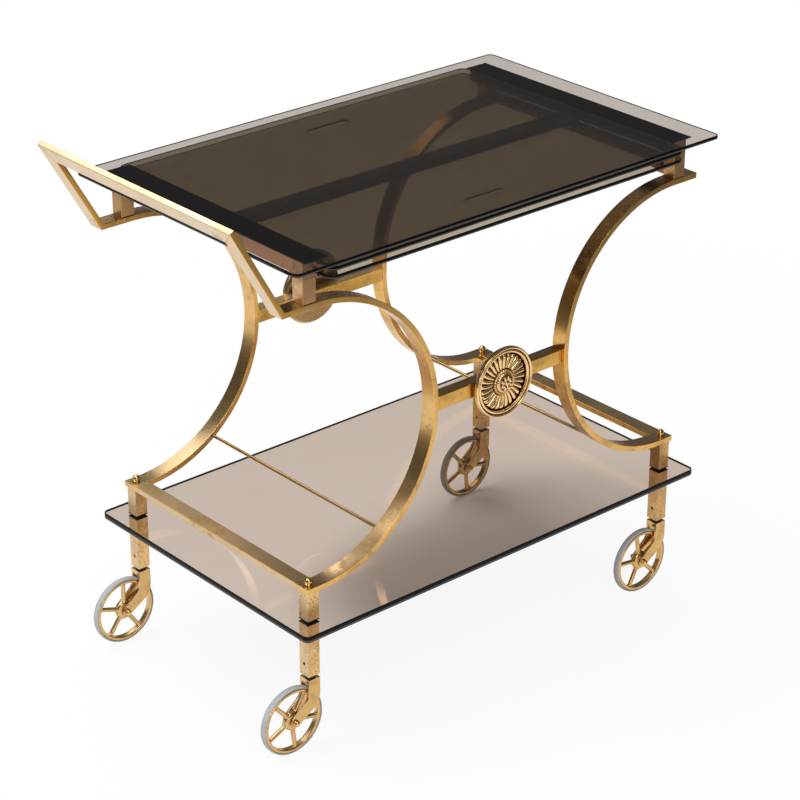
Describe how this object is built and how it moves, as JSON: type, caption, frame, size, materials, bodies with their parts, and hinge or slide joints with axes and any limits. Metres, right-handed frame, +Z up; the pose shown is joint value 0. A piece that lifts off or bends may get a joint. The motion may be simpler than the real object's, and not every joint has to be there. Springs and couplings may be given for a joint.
{
  "type": "bar cart",
  "caption": "Rolling brass bar cart with smoked glass top and shelf, half-circle arc frame, rosettes, sliding glass leaves, sloping push handle and spoked swivel casters.",
  "frame": {"origin": "middle of the cart's bounding box, on the floor", "axes": "+X along the length away from the handle, -Y the front, +Z up"},
  "size_m": [0.8774, 0.493, 0.8241],
  "materials": {
    "brass": "aged satin, fine grain, light patina",
    "ornament_brass": "cast, aged, darker in the hollows",
    "polished_brass": "polished",
    "caster_brass": "aged satin",
    "top_glass": "smoked, polished",
    "leaf_glass": "smoked, polished",
    "shelf_glass": "smoked, polished",
    "black_rubber": "matt",
    "black_plastic": "matt",
    "black_paint": "satin black",
    "steel": "darkened",
    "grey_tyre": "smooth, slightly worn"
  },
  "bodies": {
    "frame": {"arc_front_left": "brass", "arc_rear_left": "brass", "arc_front_right": "brass", "arc_rear_right": "brass", "lower_crossbar_left": "brass", "lower_crossbar_right": "brass", "top_crossbar": "brass", "handle_arm_front": "brass", "handle_arm_rear": "brass", "handle_grip": "brass", "stretcher_front": "brass", "stretcher_rear": "brass", "rosette_front": "ornament_brass", "rosette_rear": "ornament_brass", "gallery_rod_left": "brass", "gallery_rod_right": "brass", "upper_leg_front_left": "brass", "lower_leg_front_left": "brass", "post_front_left": "brass", "upper_leg_rear_left": "brass", "lower_leg_rear_left": "brass", "post_rear_left": "brass", "upper_leg_front_right": "brass", "lower_leg_front_right": "brass", "post_front_right": "brass", "upper_leg_rear_right": "brass", "lower_leg_rear_right": "brass", "post_rear_right": "brass", "tie_bolts": "polished_brass", "shelf_washers": "black_rubber", "set_screws": "steel", "caster_stems": "polished_brass", "thrust_washers": "black_plastic", "shelf_glass": "shelf_glass", "rail_left": "brass", "rail_right": "brass", "gasket_left": "black_rubber", "gasket_right": "black_rubber", "centre_bar": "black_paint", "top_glass": "top_glass"},
    "upper_leaf": {"upper_leaf": "leaf_glass"},
    "lower_leaf": {"lower_leaf": "leaf_glass"},
    "caster_front_left": {"fork_front_left": "caster_brass", "axle_front_left": "polished_brass"},
    "wheel_front_left": {"wheel_front_left": "caster_brass", "tyre_front_left": "grey_tyre"},
    "caster_rear_left": {"fork_rear_left": "caster_brass", "axle_rear_left": "polished_brass"},
    "wheel_rear_left": {"wheel_rear_left": "caster_brass", "tyre_rear_left": "grey_tyre"},
    "caster_front_right": {"fork_front_right": "caster_brass", "axle_front_right": "polished_brass"},
    "wheel_front_right": {"wheel_front_right": "caster_brass", "tyre_front_right": "grey_tyre"},
    "caster_rear_right": {"fork_rear_right": "caster_brass", "axle_rear_right": "polished_brass"},
    "wheel_rear_right": {"wheel_rear_right": "caster_brass", "tyre_rear_right": "grey_tyre"}
  },
  "joints": [
    {"name": "upper_leaf_slide", "type": "slide", "parent": "frame", "child": "upper_leaf", "axis": [0, 1, 0], "range_m": [0, 0.3]},
    {"name": "lower_leaf_slide", "type": "slide", "parent": "frame", "child": "lower_leaf", "axis": [0, -1, 0], "range_m": [0, 0.3]},
    {"name": "swivel_front_left", "type": "hinge", "parent": "frame", "child": "caster_front_left", "pos_m": [-0.30985, -0.2023, 0.112], "axis": [0, 0, 1], "continuous": true},
    {"name": "roll_front_left", "type": "hinge", "parent": "caster_front_left", "child": "wheel_front_left", "pos_m": [-0.34435, -0.2023, 0.053], "axis": [0, 1, 0], "continuous": true},
    {"name": "swivel_rear_left", "type": "hinge", "parent": "frame", "child": "caster_rear_left", "pos_m": [-0.30985, 0.2023, 0.112], "axis": [0, 0, 1], "continuous": true},
    {"name": "roll_rear_left", "type": "hinge", "parent": "caster_rear_left", "child": "wheel_rear_left", "pos_m": [-0.34435, 0.2023, 0.053], "axis": [0, 1, 0], "continuous": true},
    {"name": "swivel_front_right", "type": "hinge", "parent": "frame", "child": "caster_front_right", "pos_m": [0.39015, -0.2023, 0.112], "axis": [0, 0, 1], "continuous": true},
    {"name": "roll_front_right", "type": "hinge", "parent": "caster_front_right", "child": "wheel_front_right", "pos_m": [0.35565, -0.2023, 0.053], "axis": [0, 1, 0], "continuous": true},
    {"name": "swivel_rear_right", "type": "hinge", "parent": "frame", "child": "caster_rear_right", "pos_m": [0.39015, 0.2023, 0.112], "axis": [0, 0, 1], "continuous": true},
    {"name": "roll_rear_right", "type": "hinge", "parent": "caster_rear_right", "child": "wheel_rear_right", "pos_m": [0.35565, 0.2023, 0.053], "axis": [0, 1, 0], "continuous": true}
  ]
}
